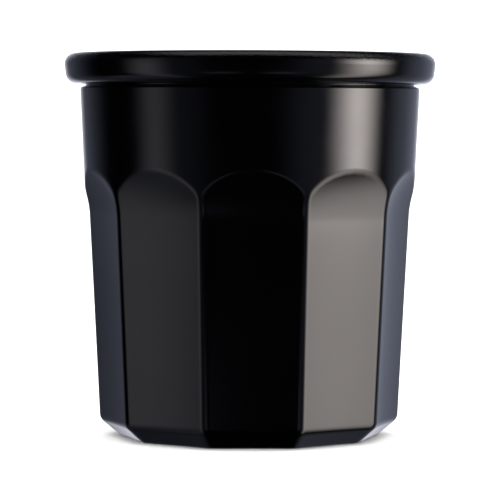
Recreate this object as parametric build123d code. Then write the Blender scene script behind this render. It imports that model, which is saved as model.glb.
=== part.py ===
from build123d import *
import os
from math import atan2, cos, degrees, hypot, radians, sin, sqrt, tan

# Faceted drinking tumbler in pressed glass, one piece.
# Origin: centre of the foot on the surface it stands on. +Z runs up the axis. Millimetres.

# Overall
height = 91.9
collar_diameter = 81.6          # across the plain collar, at its shoulder under the rim
draft = 2.75                    # degrees that every wall leans out, for release from the mould

# Rim bead
bead_height = 7.3
bead_overhang = 3.75            # how far the bead stands out past the collar's shoulder
bead_lean = 7.0                 # degrees that the bead's outer face leans in towards its underside
bead_top_radius = 2.6
bead_bottom_radius = 2.7
mouth_radius = 3.0              # rounding of the inside edge that the drinker's lip meets

# Groove between bead and collar
groove_depth = 2.2
groove_gap = 0.9                # from the bead's underside to the collar's shoulder
groove_rise = 0.12              # how much the bead's underside climbs towards its outer edge
shoulder_radius = 0.6
groove_root_radius = 0.15

# Panels round the body
panel_count = 10
panel_turn = 1.5                # degrees that the first panel is turned from facing -Y
panel_depth = 2.9               # how far a panel's middle is set in from the collar's cone
panel_hollow_radius = 190.0     # the panels are very slightly hollow from ridge to ridge
panel_top = 53.0                # height where a panel starts to sweep out into its arch
arch_sweep_radius = 24.0
edge_radius = 2.8               # rounding along the ridges between panels and along the arches

# Foot
foot_height = 4.0
foot_inset = 4.5                # how far the foot steps in under the flats
foot_edge_radius = 2.7
bearing_edge_radius = 0.9
push_up_diameter = 44.0         # shallow dish in the underside
push_up_depth = 1.0

# Inside
wall = 2.3                      # glass behind the flats
floor_thickness = 7.0
floor_corner_radius = 8.0

lean = tan(radians(draft))
half_panel = 180 / panel_count
bead_underside = height - bead_height
shoulder_height = bead_underside - groove_gap
shoulder_r = collar_diameter / 2
rim_r = shoulder_r + bead_overhang


def collar_r(z):
    return shoulder_r - (shoulder_height - z) * lean


def flat_r(z):
    return collar_r(z) - panel_depth


def cavity_r(z):
    return flat_r(z) - wall


def round_corner(outline, x, z, radius):
    corner = outline.vertices().sort_by_distance(Vector(x, 0, z))[0]
    return fillet(corner, radius)


def blank_section():
    """Half section of the tumbler as it would be with no panels, foot or dish."""
    bead_slope = radians(bead_lean)
    bead_corner_r = rim_r + bead_top_radius * (tan(bead_slope) + 1 / cos(bead_slope) - 1)
    bead_base_r = bead_corner_r - bead_height * tan(bead_slope)
    corners = [
        (0, 0),
        (collar_r(0), 0),
        (shoulder_r, shoulder_height),
        (shoulder_r - groove_depth, bead_underside - groove_rise),
        (bead_base_r, bead_underside),
        (bead_corner_r, height),
        (cavity_r(height), height),
        (cavity_r(floor_thickness), floor_thickness),
        (0, floor_thickness),
    ]
    radii = [0, 0, shoulder_radius, groove_root_radius, bead_bottom_radius,
             bead_top_radius, mouth_radius, floor_corner_radius, 0]
    outline = make_face(Polyline([(x, 0, z) for x, z in corners], close=True))
    for (x, z), radius in zip(corners, radii):
        if radius:
            outline = round_corner(outline, x, z, radius)
    return outline


def blank():
    # turned so that its seam runs up the middle of a panel, clear of the ridges
    return Rot(0, 0, panel_turn - 90) * revolve(blank_section(), Axis.Z)


def panel_cutter():
    """What the mould takes off one side: foot bevel, flat and the sweep out into the arch."""
    reach = rim_r + 10
    below = 2.0
    bevel = foot_inset / foot_height
    foot_r = flat_r(foot_height)
    sweep_centre_r = flat_r(panel_top) + arch_sweep_radius * cos(radians(draft))
    sweep_centre_z = panel_top - arch_sweep_radius * sin(radians(draft))
    exit_r = shoulder_r + 2.0
    exit_z = sweep_centre_z + sqrt(arch_sweep_radius ** 2 - (sweep_centre_r - exit_r) ** 2)
    start_angle = 180 - draft
    exit_angle = degrees(atan2(exit_z - sweep_centre_z, exit_r - sweep_centre_r))
    middle = radians((start_angle + exit_angle) / 2)
    sweep_middle = (
        sweep_centre_r + arch_sweep_radius * cos(middle),
        0,
        sweep_centre_z + arch_sweep_radius * sin(middle),
    )
    start = (foot_r - foot_inset - below * bevel, 0, -below)
    heel = (foot_r, 0, foot_height)
    flat_end = (flat_r(panel_top), 0, panel_top)
    exit_point = (exit_r, 0, exit_z)
    edges = [
        Line(start, heel),
        Line(heel, flat_end),
        ThreePointArc(flat_end, sweep_middle, exit_point),
        Line(exit_point, (reach, 0, exit_z)),
        Line((reach, 0, exit_z), (reach, 0, -below)),
        Line((reach, 0, -below), start),
    ]
    outline = make_face(Wire(edges))
    outline = round_corner(outline, foot_r, foot_height, foot_edge_radius)
    hollow_axis = Axis((flat_r(panel_top) + panel_hollow_radius, 0, 0), (0, 0, 1))
    half_width = reach * tan(radians(half_panel))
    swing = degrees(atan2(half_width, panel_hollow_radius))
    return revolve(outline, hollow_axis, 2 * swing).rotate(hollow_axis, -swing)


def cut_panels(body):
    cutter = panel_cutter()
    turns = [panel_turn - 90 + i * 2 * half_panel for i in range(panel_count)]
    return body - [Rot(0, 0, turn) * cutter for turn in turns]


def push_up():
    """Shallow dish under the floor, so that the tumbler stands on a ring."""
    dish_r = (push_up_diameter ** 2 / 4 + push_up_depth ** 2) / (2 * push_up_depth)
    return Pos(0, 0, push_up_depth - dish_r) * Sphere(dish_r)


def off_centre(edge):
    """Where an edge lies across its panel: 0 down the middle of the flat, 1 on a ridge."""
    middle = edge.position_at(0.5)
    turn = degrees(atan2(middle.Y, middle.X)) + 90 - panel_turn
    return abs((turn / half_panel + 1) % 2 - 1)


def span(edge):
    return abs(edge.position_at(0).Z - edge.position_at(1).Z)


def bearing_edges(body):
    return body.faces().sort_by(Axis.Z)[0].edges()


def ridge_edges(body):
    below_rim = body.edges().filter_by(lambda e: e.position_at(0.5).Z < shoulder_height)
    outside = below_rim.filter_by(lambda e: off_centre(e) > 0.99 and span(e) > 0.3)
    return outside.filter_by(lambda e: flat_r(0) - foot_inset < hypot(*tuple(e.position_at(0.5))[:2]))


def arch_edges(body):
    curved = body.edges().filter_by(GeomType.BSPLINE)
    return curved.filter_by(lambda e: e.position_at(0.5).Z > panel_top and off_centre(e) < 0.8)


def tumbler():
    body = cut_panels(blank())
    body = fillet(bearing_edges(body), bearing_edge_radius)
    body = fillet(ridge_edges(body) + arch_edges(body), edge_radius)
    return body - push_up()


os.makedirs("parts", exist_ok=True)
export_step(tumbler(), "parts/tumbler.step")
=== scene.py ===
from math import atan2, cos, pi, radians, sin, sqrt, tan

import bpy
from mathutils import Matrix, Vector


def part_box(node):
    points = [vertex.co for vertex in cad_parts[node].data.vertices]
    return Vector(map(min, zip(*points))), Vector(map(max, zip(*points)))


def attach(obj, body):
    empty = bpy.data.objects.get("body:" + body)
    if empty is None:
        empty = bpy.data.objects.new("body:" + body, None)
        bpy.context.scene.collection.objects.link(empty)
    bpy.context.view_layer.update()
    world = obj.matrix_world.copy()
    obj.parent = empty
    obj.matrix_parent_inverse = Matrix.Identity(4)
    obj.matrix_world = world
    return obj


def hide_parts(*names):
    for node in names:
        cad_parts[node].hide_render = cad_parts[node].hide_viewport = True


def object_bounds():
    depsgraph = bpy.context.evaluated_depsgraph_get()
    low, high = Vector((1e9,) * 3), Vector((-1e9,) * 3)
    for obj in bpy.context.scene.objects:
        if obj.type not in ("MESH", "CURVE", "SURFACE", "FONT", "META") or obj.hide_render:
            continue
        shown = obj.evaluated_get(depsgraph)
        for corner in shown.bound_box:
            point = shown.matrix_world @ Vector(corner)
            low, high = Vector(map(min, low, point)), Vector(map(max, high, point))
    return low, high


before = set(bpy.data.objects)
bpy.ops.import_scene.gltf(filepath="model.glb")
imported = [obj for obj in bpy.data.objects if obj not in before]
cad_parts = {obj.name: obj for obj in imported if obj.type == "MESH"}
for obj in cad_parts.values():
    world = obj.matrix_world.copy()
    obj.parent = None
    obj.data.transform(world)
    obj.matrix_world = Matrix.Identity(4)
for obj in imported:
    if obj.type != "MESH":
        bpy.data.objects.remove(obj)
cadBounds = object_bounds()
print("frame loaded:", sorted(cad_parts))


def linear(hexColour):
    # sRGB hex to the linear values that the shaders take
    out = []
    for i in (0, 2, 4):
        c = int(hexColour[i:i + 2], 16) / 255
        out.append(c / 12.92 if c <= 0.04045 else ((c + 0.055) / 1.055) ** 2.4)
    return (*out, 1.0)


def addNode(tree, kind, settings=None, links=None, **inputs):
    # one node with its settings, its socket values and what feeds it
    node = tree.nodes.new(kind)
    for name, value in (settings or {}).items():
        setattr(node, name, value)
    for name, value in inputs.items():
        node.inputs[name.replace("_", " ")].default_value = value
    for name, socket in (links or {}).items():
        tree.links.new(socket, node.inputs[name])
    return node


# the tumbler, in millimetres
tumblerShape = {
    "draft": 2.75,             # degrees
    "collarWidth": 81.6,       # at the shoulder under the rim
    "panelCount": 10,
    "panelTurn": 1.5,          # degrees
    "panelDepth": 2.9,         # in the middle of a panel
    "panelHollow": 190.0,      # radius of the very slight hollow across a panel
    "panelTop": 53.0,
    "archSweep": 24.0,         # radius of the sweep from flat to arch
    "edgeSoftness": 2.8,       # rounding along the ridges and the arches
    "ridgeSpread": 1.19,       # widens the blend at a ridge until it looks like that rounding
    "archSpread": 0.295,       # the same for the blend at an arch
    "fullCircle": 67.5,        # height where the collar is round again above the arches
    "footHeight": 4.0,
    "footInset": 4.5,
    "heelRound": 2.7,
    "bearingRound": 0.9,
    "dishWidth": 44.0,
    "dishDepth": 1.0,
    "beadHeight": 7.3,
    "beadOverhang": 3.75,
    "beadLean": 7.0,           # degrees
    "beadTopRound": 2.6,
    "beadBottomRound": 2.7,
    "lipRound": 3.0,
    "grooveDepth": 2.2,
    "grooveGap": 0.9,
    "grooveRise": 0.12,
    "shoulderRound": 0.6,
    "grooveRound": 0.2,
    "wall": 2.3,
    "floorThickness": 7.0,
    "floorRound": 8.0,
}


def buildTumbler(shape):
    lowest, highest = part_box("tumbler")
    height = (highest.z - lowest.z) * 1000
    lean = tan(radians(shape["draft"]))
    underside = height - shape["beadHeight"]
    shoulderZ = underside - shape["grooveGap"]
    shoulderR = shape["collarWidth"] / 2
    rimR = shoulderR + shape["beadOverhang"]
    half = pi / shape["panelCount"]

    def collarR(z):
        return shoulderR - (shoulderZ - z) * lean

    def flatR(z):
        return collarR(z) - shape["panelDepth"]

    def cavityR(z):
        return flatR(z) - shape["wall"]

    sweepR = shape["archSweep"]
    sweepX = flatR(shape["panelTop"]) + sweepR * cos(radians(shape["draft"]))
    sweepZ = shape["panelTop"] - sweepR * sin(radians(shape["draft"]))

    def panelR(z):
        # the flat, then the sweep that carries it out to the collar
        if z <= shape["panelTop"]:
            return flatR(z)
        rise = min(z - sweepZ, sweepR * 0.999)  # stays short of the sweep's own top
        return sweepX - sqrt(sweepR ** 2 - rise ** 2)

    def softMin(a, b, k):
        # the smaller of two radii, with the change from one to the other rounded over k
        gap = max(k - abs(a - b), 0) / k
        return min(a, b) - gap * gap * k / 4

    ridgeK = shape["edgeSoftness"] * (2 * tan(half * shape["ridgeSpread"])) ** 2 / 2
    archK = shape["edgeSoftness"] * shape["archSpread"] / 2

    def sideR(middle, angle):
        # one slightly hollow side of the ten-sided section
        off = middle * tan(angle)
        return (middle + off * off / (2 * shape["panelHollow"])) / cos(angle)

    def polygonR(middle, angle):
        # a side with its neighbour rounded into it
        return softMin(sideR(middle, angle), sideR(middle, 2 * half - abs(angle)), ridgeK)

    def archZ(angle):
        # height where the sweep meets the collar, at this angle off the panel's middle
        low, high = shape["panelTop"], shape["panelTop"] + sweepR * 0.9
        for _ in range(40):
            mid = (low + high) / 2
            if sideR(panelR(mid), angle) < collarR(mid):
                low = mid
            else:
                high = mid
        return low

    # rings from the middle of the underside up the outside, over the rim and down the inside
    rings = []

    def ring(kind, r, z):
        rings.append((kind, r, z))

    def corner(before, at, after, radius, steps, kind="round"):
        # rounds one corner of the section with an arc of rings
        a, b = Vector(before) - Vector(at), Vector(after) - Vector(at)
        a.normalize()
        b.normalize()
        opening = a.angle(b)
        reach = radius / tan(opening / 2)
        middle = Vector(at) + (a + b).normalized() * radius / sin(opening / 2)
        start, end = Vector(at) + a * reach, Vector(at) + b * reach
        first = atan2(start.y - middle.y, start.x - middle.x)
        last = atan2(end.y - middle.y, end.x - middle.x)
        turn = (last - first + pi) % (2 * pi) - pi
        for i in range(steps + 1):
            t = first + turn * i / steps
            ring(kind, middle.x + radius * cos(t), middle.y + radius * sin(t))

    def run(start, end, shares, kind="round"):
        for s in shares:
            ring(kind, start[0] + (end[0] - start[0]) * s, start[1] + (end[1] - start[1]) * s)

    # underside: dish, bearing ring and foot
    dishR = shape["dishWidth"] / 2
    heel = (flatR(shape["footHeight"]), shape["footHeight"])
    toe = (heel[0] - shape["footInset"], 0.0)
    for s in (0.0, 0.12, 0.3, 0.5, 0.7, 0.85, 0.95):
        ring("round", dishR * s, shape["dishDepth"] * (1 - s * s))
    ring("round", dishR, 0.0)
    ring("round", dishR + 0.5, 0.0)  # keeps the dish's edge crisp
    ring("bottom", (dishR + toe[0]) / 2, 0.0)
    ring("polygon", toe[0] - 1.0, 0.0)  # keeps the bearing ring flat
    corner((0, 0), toe, heel, shape["bearingRound"], 6, "polygon")
    run(toe, heel, (0.25, 0.35, 0.5, 0.65, 0.75), "polygon")
    corner(toe, heel, (flatR(30), 30), shape["heelRound"], 10, "polygon")
    run((flatR(6), 6), (flatR(shape["panelTop"]), shape["panelTop"]),
        (0, 0.02, 0.06, 0.12, 0.2, 0.3, 0.4, 0.5, 0.6, 0.7, 0.8, 0.88, 0.94, 0.98, 1), "polygon")

    # sweep and arch: these rings hold a share of the height or a distance from the arch
    for s in (0.06, 0.14, 0.24, 0.34, 0.44, 0.54, 0.64, 0.73, 0.81, 0.88):
        ring("arch", 0, s)
    offsets = (0.25, 0.5, 0.7, 0.85, 1.0, 1.2, 1.5)
    band = offsets[-1]
    for offset in [-s for s in reversed(offsets)] + [0, *offsets]:
        ring("edge", 0, offset)
    for s in (0.28, 0.42, 0.6, 0.8):
        ring("above", 0, s)
    circleZ = shape["fullCircle"]
    run((collarR(circleZ), circleZ), (collarR(shoulderZ), shoulderZ),
        (0, 0.12, 0.25, 0.4, 0.55, 0.7, 0.82, 0.9, 0.95))

    # shoulder, groove, bead, lip
    beadSlope = radians(shape["beadLean"])
    beadCornerR = rimR + shape["beadTopRound"] * (tan(beadSlope) + 1 / cos(beadSlope) - 1)
    beadBaseR = beadCornerR - shape["beadHeight"] * tan(beadSlope)
    shoulder = (shoulderR, shoulderZ)
    root = (shoulderR - shape["grooveDepth"], underside - shape["grooveRise"])
    beadBase = (beadBaseR, underside)
    beadTop = (beadCornerR, height)
    lip = (cavityR(height), height)
    pit = (cavityR(shape["floorThickness"]), shape["floorThickness"])
    corner((collarR(0), 0), shoulder, root, shape["shoulderRound"], 8)
    corner(shoulder, root, beadBase, shape["grooveRound"], 5)
    run(root, beadBase, (0.15, 0.35, 0.5))
    corner(root, beadBase, beadTop, shape["beadBottomRound"], 12)
    run(beadBase, beadTop, (0.42, 0.5, 0.56))
    corner(beadBase, beadTop, lip, shape["beadTopRound"], 14)
    run(beadTop, lip, (0.42, 0.5, 0.58))
    corner(beadTop, lip, pit, shape["lipRound"], 12)
    run(lip, pit, (0.06, 0.12, 0.2, 0.3, 0.4, 0.5, 0.6, 0.7, 0.78, 0.84, 0.87))
    corner(lip, pit, (0, pit[1]), shape["floorRound"], 12)
    run(pit, (0, pit[1]), (0.3, 0.4, 0.6, 0.8, 0.92, 1))

    # angles of the columns across one panel, close together by the ridge
    right = (0.22, 0.44, 0.62, 0.74, 0.82, 0.87, 0.9, 0.925, 0.945, 0.965, 0.985)
    columns = [-half] + [-half * s for s in reversed(right)] + [0.0] + [half * s for s in right]
    arches = [archZ(a) for a in columns]
    count = shape["panelCount"] * len(columns)
    sweepEnd, bandGap = 0.94, 0.1  # where the rings of the sweep, and those above, would meet the band

    def place(index, column):
        # where ring and column cross once the panels are pressed in
        kind, r, z = rings[index]
        local = columns[column % len(columns)]
        arch = arches[column % len(columns)]
        if kind == "polygon":
            r = polygonR(r, local)
        elif kind == "bottom":
            r = (polygonR(r, local) + r) / 2
        elif kind in ("arch", "edge", "above"):
            if kind == "arch":
                z = shape["panelTop"] + (arch - shape["panelTop"] - band) * z / sweepEnd
            elif kind == "edge":
                z = arch + z
            else:
                z = arch + band + (circleZ - arch - band) * (z - bandGap)
            r = softMin(polygonR(panelR(z), local), collarR(z), archK)
        return r, z, local

    # a section line drawn point by point, then spun round the axis
    bpy.ops.object.select_all(action="DESELECT")
    bpy.ops.mesh.primitive_plane_add(size=0.01, location=(0, 0, 0))
    piece = bpy.context.object
    piece.name = piece.data.name = "pressedTumbler"
    bpy.ops.object.mode_set(mode="EDIT")
    bpy.ops.mesh.merge(type="CENTER")
    bpy.ops.transform.translate(value=(rings[0][1] / 1000, 0, rings[0][2] / 1000))
    drawn = []
    for i, (kind, r, z) in enumerate(rings):
        if kind in ("arch", "edge", "above"):
            r, z = collarR(60) + i * 0.001, 54 + i * 0.1  # waits here, in order, for its height
        drawn.append((r, z))
    for (r0, z0), (r1, z1) in zip(drawn, drawn[1:]):
        bpy.ops.mesh.extrude_region_move(
            TRANSFORM_OT_translate={"value": ((r1 - r0) / 1000, 0, (z1 - z0) / 1000)})
    bpy.ops.object.mode_set(mode="OBJECT")
    order = piece.data.attributes.new("ring", "FLOAT", "POINT")
    for vertex, item in zip(piece.data.vertices, order.data):
        # extruded points are not stored in the order they were drawn, so each is known by its place
        item.value = min(range(len(drawn)), key=lambda i: abs(drawn[i][0] - vertex.co.x * 1000)
                         + abs(drawn[i][1] - vertex.co.z * 1000))
    bpy.ops.object.mode_set(mode="EDIT")
    bpy.ops.mesh.select_all(action="SELECT")
    bpy.ops.mesh.spin(steps=count, dupli=False, angle=2 * pi, use_auto_merge=True,
                      center=(0, 0, 0), axis=(0, 0, 1))
    bpy.ops.mesh.select_all(action="SELECT")
    bpy.ops.mesh.remove_doubles(threshold=1e-7)
    bpy.ops.object.mode_set(mode="OBJECT")
    print("section spun:", len(piece.data.vertices), "points,", len(piece.data.polygons), "faces")

    # press the ten panels: every point moves to its column and its ring's height
    start = radians(shape["panelTurn"] - 90) - half
    values = piece.data.attributes["ring"].data
    for vertex, value in zip(piece.data.vertices, values):
        index = round(value.value)
        column = round(atan2(vertex.co.y, vertex.co.x) / (2 * pi) * count) % count
        r, z, local = place(index, column)
        panel = column // len(columns)
        angle = start + half + panel * 2 * half + local
        vertex.co = (r * cos(angle) / 1000, r * sin(angle) / 1000, z / 1000)
    piece.data.attributes.remove(piece.data.attributes["ring"])

    bpy.ops.object.mode_set(mode="EDIT")
    bpy.ops.mesh.select_all(action="SELECT")
    bpy.ops.mesh.normals_make_consistent(inside=False)
    bpy.ops.object.mode_set(mode="OBJECT")
    bpy.ops.object.shade_smooth()
    return piece


tumbler = buildTumbler(tumblerShape)
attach(tumbler, "root")
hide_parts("tumbler")
print("tumbler built")


# opaque black soda-lime glass, pressed in an iron mould and fire polished
glassLook = {
    "body": "010102",
    "ior": 1.52,
    "roughness": 0.12,
    "roughnessSpread": 0.03,
    "cloudSize": 11.0,         # mm, patches where the polish is duller
    "cloudEdges": (0.3, 0.7),  # noise values where a patch starts and where it is full
    "swellSize": 16.0,         # mm, slow unevenness left by the press
    "swellHeight": 0.035,      # mm
    "peelSize": 2.4,           # mm, orange peel left by the mould's skin
    "peelHeight": 0.0016,      # mm
    "grainSize": 0.42,         # mm, pitting of the rim's crown, coarser than real so that it shows
    "grainHeight": 0.11,       # mm
    "grainDepth": 2.5,         # mm down from the top of the rim
    "footScuff": 0.34,         # roughness where the foot has rubbed on tables
    "scuffEdges": (0.1, 0.9),  # mm above the table, from fully scuffed to clean
}


def pressedBlackGlass(look):
    # deep neutral black with a clear gloss, slow swells that bend long reflections a little,
    # a finely pitted crown that breaks the top light into sparkle, and a dulled bearing ring
    material = bpy.data.materials.new("pressedBlackGlass")
    material.use_nodes = True
    tree = material.node_tree
    shader = tree.nodes["Principled BSDF"]
    shader.inputs["Base Color"].default_value = linear(look["body"])
    shader.inputs["IOR"].default_value = look["ior"]
    place = addNode(tree, "ShaderNodeTexCoord").outputs["Object"]
    height = addNode(tree, "ShaderNodeSeparateXYZ", links={"Vector": place}).outputs["Z"]
    top = cadBounds[1][2]

    def noise(size, detail, rough):
        return addNode(tree, "ShaderNodeTexNoise", links={"Vector": place}, Scale=1000 / size,
                       Detail=detail, Roughness=rough).outputs["Fac"]

    def bump(source, millimetres, before=None):
        feeds = {"Height": source}
        if before:
            feeds["Normal"] = before
        return addNode(tree, "ShaderNodeBump", links=feeds, Strength=1.0,
                       Distance=millimetres / 1000).outputs["Normal"]

    def ramp(source, start, end, first, last):
        smooth = {"interpolation_type": "SMOOTHSTEP"}
        return addNode(tree, "ShaderNodeMapRange", smooth, {"Value": source}, From_Min=start,
                       From_Max=end, To_Min=first, To_Max=last).outputs["Result"]

    swell = bump(noise(look["swellSize"], 1.0, 0.4), look["swellHeight"])
    peel = bump(noise(look["peelSize"], 2.0, 0.5), look["peelHeight"], swell)
    crown = ramp(height, top - look["grainDepth"] / 1000, top - look["grainDepth"] / 2000, 0.0, 1.0)
    pits = addNode(tree, "ShaderNodeMath", {"operation": "MULTIPLY"},
                   {0: noise(look["grainSize"], 1.0, 0.6), 1: crown}).outputs[0]
    tree.links.new(bump(pits, look["grainHeight"], peel), shader.inputs["Normal"])

    cloud = ramp(noise(look["cloudSize"], 3.0, 0.55), *look["cloudEdges"],
                 look["roughness"] - look["roughnessSpread"], look["roughness"] + look["roughnessSpread"])
    worn, clean = (edge / 1000 for edge in look["scuffEdges"])
    scuffed = ramp(height, worn, clean, look["footScuff"], 0.0)
    rough = addNode(tree, "ShaderNodeMath", {"operation": "MAXIMUM"}, {0: cloud, 1: scuffed}).outputs[0]
    tree.links.new(rough, shader.inputs["Roughness"])
    return material


tumbler.data.materials.clear()
tumbler.data.materials.append(pressedBlackGlass(glassLook))
print("glass finished")


# floor and lights, in metres
studio = {
    "floorColour": "f7f7f7",
    "floorRoughness": 0.8,
    "floorSize": 12,
    "airStrength": 2.0,
    "cardReach": 0.6,          # from the axis
    "cardStep": 0.02,          # above and below the floor's level, where a card changes strength
    "cardFade": 1.4,           # how fast a card fades below the floor
    "topHeight": 1.1,
    "topShift": 0.4,           # towards the key side
    "topWidth": 1.9,
    "topDepth": 0.8,
    "topStrength": 0.85,
}

# azimuth is in degrees, from the camera's side towards its right; a card fades out from the
# floor's level down to "low", and up from "full" to "high", all as elevations in degrees;
# "underFloor" is its strength below the floor's level as a share of its strength above it
cards = [
    {"name": "keyBox", "azimuth": 74.6, "width": 56, "low": -60, "full": 10, "high": 34,
     "strength": 8.9, "underFloor": 0.56, "falloff": 1.55, "colour": "fff6f2"},
    {"name": "keySpill", "azimuth": 46, "width": 66, "low": -60, "full": 10, "high": 40,
     "strength": 0.2, "underFloor": 0.9, "falloff": 1.0, "colour": "dfe6ff"},
    {"name": "sideFill", "azimuth": 122, "width": 54, "low": -73, "full": 10, "high": 40,
     "strength": 0.4, "underFloor": 1.0, "falloff": 0.9, "colour": "dbe3ff"},
    {"name": "leftStrip", "azimuth": -65.5, "width": 42, "low": -66, "full": 10, "high": 40,
     "strength": 0.5, "underFloor": 1.35, "falloff": 1.3, "colour": "f8f5ff"},
    {"name": "leftSpill", "azimuth": -46, "width": 56, "low": -66, "full": 10, "high": 40,
     "strength": 0.09, "underFloor": 1.0, "falloff": 1.0, "colour": "dfe6ff"},
    {"name": "leftLow", "azimuth": -96, "width": 70, "low": -72, "full": -34, "high": -16,
     "strength": 0.34, "underFloor": 1.0, "falloff": 1.0, "colour": "dfe6ff"},
    {"name": "backRight", "azimuth": 150, "width": 52, "low": -70, "full": 10, "high": 40,
     "strength": 0.5, "underFloor": 1.0, "falloff": 1.0, "colour": "dbe3ff"},
    {"name": "backLeft", "azimuth": -143, "width": 74, "low": -73, "full": 10, "high": 40,
     "strength": 0.22, "underFloor": 0.85, "falloff": 1.0, "colour": "d6e0ff"},
    {"name": "backBox", "azimuth": 181, "width": 64, "low": -60, "full": 10, "high": 40,
     "strength": 1.5, "underFloor": 1.0, "falloff": 1.0, "colour": "f2f4ff"},
    {"name": "frontLowLeft", "azimuth": -17, "width": 30, "low": -30, "full": -14, "high": -5,
     "strength": 0.42, "underFloor": 1.0, "falloff": 0.6, "colour": "e8ecff"},
    {"name": "frontLowRight", "azimuth": 19, "width": 32, "low": -30, "full": -14, "high": -5,
     "strength": 0.5, "underFloor": 1.0, "falloff": 0.8, "colour": "e8ecff"},
]


def addCard(card):
    # a standing card that only reflections see, bright in its middle and fading to its edges;
    # it is sheer, so that cards add up where they cross
    reach = studio["cardReach"]
    turn = radians(card["azimuth"])
    low, full, high = (reach * tan(radians(card[k])) for k in ("low", "full", "high"))
    wide = 2 * reach * tan(radians(card["width"] / 2))
    bpy.ops.object.select_all(action="DESELECT")
    spot = (reach * sin(turn), -reach * cos(turn), (low + high) / 2)
    bpy.ops.mesh.primitive_plane_add(size=1, rotation=(pi / 2, 0, turn), location=spot)
    board = bpy.context.object
    board.name = card["name"]
    board.scale = (wide, high - low, 1)
    glow = bpy.data.materials.new(card["name"] + "Glow")
    glow.use_nodes = True
    tree = glow.node_tree
    tree.nodes.clear()

    def ramp(source, start, end, first, last, kind="SMOOTHSTEP"):
        return addNode(tree, "ShaderNodeMapRange", {"interpolation_type": kind}, {"Value": source},
                       From_Min=start, From_Max=end, To_Min=first, To_Max=last).outputs["Result"]

    def combine(kind, first, second):
        node = addNode(tree, "ShaderNodeMath", {"operation": kind}, {0: first})
        if isinstance(second, float):
            node.inputs[1].default_value = second
        else:
            tree.links.new(second, node.inputs[1])
        return node.outputs[0]

    place = addNode(tree, "ShaderNodeTexCoord").outputs["UV"]
    sides = addNode(tree, "ShaderNodeSeparateXYZ", links={"Vector": place})
    offset = combine("ABSOLUTE", combine("SUBTRACT", sides.outputs["X"], 0.5), 0.0)
    across = combine("POWER", ramp(offset, 0.0, 0.5, 1.0, 0.0), card["falloff"])
    rise, tall, step = sides.outputs["Y"], high - low, studio["cardStep"]
    foot = ramp(rise, 0.0, min(-low, tall) / tall, 0.0, 1.0, "LINEAR")
    under = combine("POWER", foot, studio["cardFade"])
    level = ramp(rise, (-low - step) / tall, (-low + step) / tall, card["underFloor"], 1.0)
    over = ramp(rise, (full - low) / tall, 1.0, card["strength"], 0.0)
    glowing = combine("MULTIPLY", combine("MULTIPLY", across, under), combine("MULTIPLY", level, over))
    shine = addNode(tree, "ShaderNodeEmission", links={"Strength": glowing}, Color=linear(card["colour"]))
    sheer = addNode(tree, "ShaderNodeBsdfTransparent")
    both = addNode(tree, "ShaderNodeAddShader",
                   links={0: shine.outputs["Emission"], 1: sheer.outputs["BSDF"]})
    addNode(tree, "ShaderNodeOutputMaterial", links={"Surface": both.outputs["Shader"]})
    board.data.materials.append(glow)
    board.visible_camera = board.visible_diffuse = board.visible_shadow = False


for card in cards:
    addCard(card)
print("cards placed:", len(cards))

bpy.ops.object.light_add(type="AREA", location=(studio["topShift"], 0, studio["topHeight"]))
topBox = bpy.context.object
topBox.name = "topBox"
topBox.data.shape = "RECTANGLE"
topBox.data.size = studio["topWidth"]
topBox.data.size_y = studio["topDepth"]
topBox.data.energy = studio["topStrength"] * pi * studio["topWidth"] * studio["topDepth"]
topBox.visible_camera = False

bpy.ops.mesh.primitive_plane_add(size=studio["floorSize"], location=(0, 0, 0))
floor = bpy.context.object
floor.name = "floor"
floorPaint = bpy.data.materials.new("palePaint")
floorPaint.use_nodes = True
paint = floorPaint.node_tree.nodes["Principled BSDF"]
paint.inputs["Base Color"].default_value = linear(studio["floorColour"])
paint.inputs["Roughness"].default_value = studio["floorRoughness"]
floor.data.materials.append(floorPaint)
floor.visible_glossy = False

world = bpy.data.worlds.new("studioAir")
bpy.context.scene.world = world
world.use_nodes = True
air = world.node_tree.nodes["Background"]
air.inputs["Color"].default_value = (1, 1, 1, 1)
air.inputs["Strength"].default_value = studio["airStrength"]
world.cycles_visibility.glossy = False
bpy.context.scene.view_settings.view_transform = "Standard"

# camera, in metres, facing the front and looking a little down
view = {
    "distance": 0.684,
    "height": 0.0775,
    "sideways": 0.00014,
    "down": 2.749,             # degrees
    "roll": 0.192,             # degrees
    "lens": 204.4,             # mm
    "sensor": 36,              # mm
}
bpy.ops.object.camera_add(location=(view["sideways"], -view["distance"], view["height"]))
camera = bpy.context.object
camera.data.lens = view["lens"]
camera.data.sensor_width = view["sensor"]
camera.data.clip_start = 0.01
camera.data.clip_end = 50
camera.rotation_euler = (Matrix.Rotation(radians(90 - view["down"]), 3, "X")
                         @ Matrix.Rotation(radians(view["roll"]), 3, "Z")).to_euler()
bpy.context.scene.camera = camera
print("studio ready")
